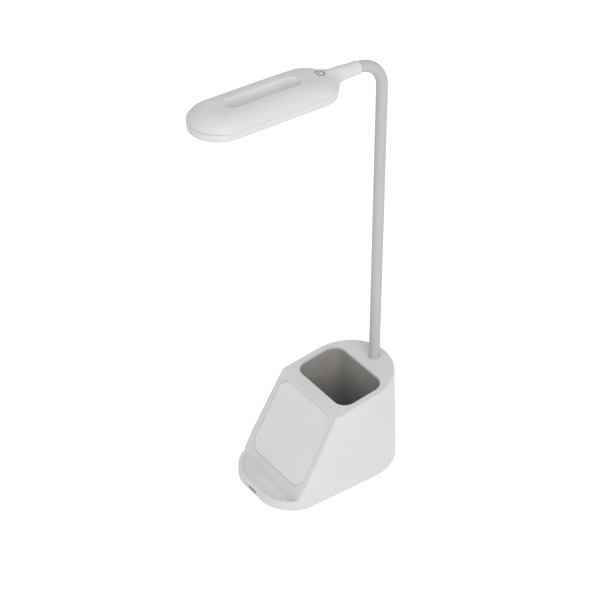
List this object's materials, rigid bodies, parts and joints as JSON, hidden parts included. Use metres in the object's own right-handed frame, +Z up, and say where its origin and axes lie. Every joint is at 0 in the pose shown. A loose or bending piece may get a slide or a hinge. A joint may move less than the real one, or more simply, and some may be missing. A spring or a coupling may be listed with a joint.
{
  "type": "desk lamp with pen cup and phone stand",
  "caption": "Small desk lamp with a slotted lamp head on a gooseneck arm, over a base with a pen cup and a sloping phone-charging stand.",
  "frame": {"origin": "underside of the base's rubber pad, under the middle of the base shell", "axes": "+Z up, +Y from the phone stand to the arm at the back, +X to the right seen from the front"},
  "size_m": [0.066, 0.1417, 0.2892],
  "materials": {
    "shell_white": "satin",
    "panel_white": "satin",
    "cup_grey": "matt",
    "silicone_white": "matt",
    "pad_rubber": "matt",
    "diffuser_milky": "milky",
    "light_pipe": "milky",
    "symbol_grey": "printed",
    "dark_plastic": "matt",
    "board_green": "solder mask",
    "board_white": "solder mask",
    "led_package": "milky",
    "steel": "satin",
    "ballast_steel": "rough",
    "aluminium": "satin",
    "copper": "lacquered wire",
    "ferrite": "matt"
  },
  "bodies": {
    "base": {"base_housing": "shell_white", "charging_panel": "panel_white", "charging_coil": "copper", "ferrite_sheet": "ferrite", "coil_carrier": "dark_plastic", "carrier_screws": "steel", "cup_liner": "cup_grey", "bottom_cover": "shell_white", "rubber_pad": "pad_rubber", "cover_screws": "steel", "ballast_plate": "ballast_steel", "main_board": "board_green", "board_components": "dark_plastic", "inlet_board": "board_green", "board_screws": "steel", "inlet_socket": "steel", "inlet_tongue": "dark_plastic", "status_light_pipe": "light_pipe", "status_led": "led_package", "arm_ferrule": "aluminium", "arm_clamp": "steel", "clamp_screws": "steel", "sleeve_foot": "silicone_white", "core_foot": "steel", "sleeve_lean_bend": "silicone_white", "core_lean_bend": "steel"},
    "arm_link": {"sleeve_link": "silicone_white", "core_link": "steel", "sleeve_sway_bend": "silicone_white", "core_sway_bend": "steel"},
    "arm_lower": {"sleeve_lower": "silicone_white", "core_lower": "steel", "sleeve_middle_bend": "silicone_white", "core_middle_bend": "steel"},
    "arm_upper": {"sleeve_upper": "silicone_white", "core_upper": "steel", "sleeve_tilt_bend": "silicone_white", "core_tilt_bend": "steel"},
    "arm_crook": {"sleeve_crook": "silicone_white", "core_crook": "steel", "sleeve_swing_bend": "silicone_white", "core_swing_bend": "steel"},
    "head": {"sleeve_end": "silicone_white", "core_end": "steel", "head_ferrule": "aluminium", "head_upper_shell": "shell_white", "head_lower_ring": "shell_white", "head_diffuser": "diffuser_milky", "led_board": "board_white", "lamp_leds": "led_package", "lamp_driver": "dark_plastic", "head_screws": "steel", "touch_pad": "copper", "touch_contact": "copper", "neck_grub_screw": "steel", "power_symbol": "symbol_grey"}
  },
  "joints": [
    {"name": "arm_lean", "type": "hinge", "parent": "base", "child": "arm_link", "pos_m": [0, 0.0421, 0.084], "axis": [1, 0, 0], "range_deg": [-12, 18], "deforming": ["sleeve_lean_bend", "core_lean_bend"]},
    {"name": "arm_sway", "type": "hinge", "parent": "arm_link", "child": "arm_lower", "pos_m": [0, 0.0421, 0.11], "axis": [0, 1, 0], "range_deg": [-25, 25], "deforming": ["sleeve_sway_bend", "core_sway_bend"]},
    {"name": "arm_bend", "type": "hinge", "parent": "arm_lower", "child": "arm_upper", "pos_m": [0, 0.0421, 0.185], "axis": [1, 0, 0], "range_deg": [-25, 35], "deforming": ["sleeve_middle_bend", "core_middle_bend"]},
    {"name": "head_tilt", "type": "hinge", "parent": "arm_upper", "child": "arm_crook", "pos_m": [0, 0.04157, 0.26945], "axis": [1, 0, 0], "range_deg": [-35, 40], "deforming": ["sleeve_tilt_bend", "core_tilt_bend"]},
    {"name": "head_swing", "type": "hinge", "parent": "arm_crook", "child": "head", "pos_m": [0, 0.03026, 0.28201], "axis": [0, 0, 1], "range_deg": [-40, 40], "deforming": ["sleeve_swing_bend", "core_swing_bend"]}
  ]
}
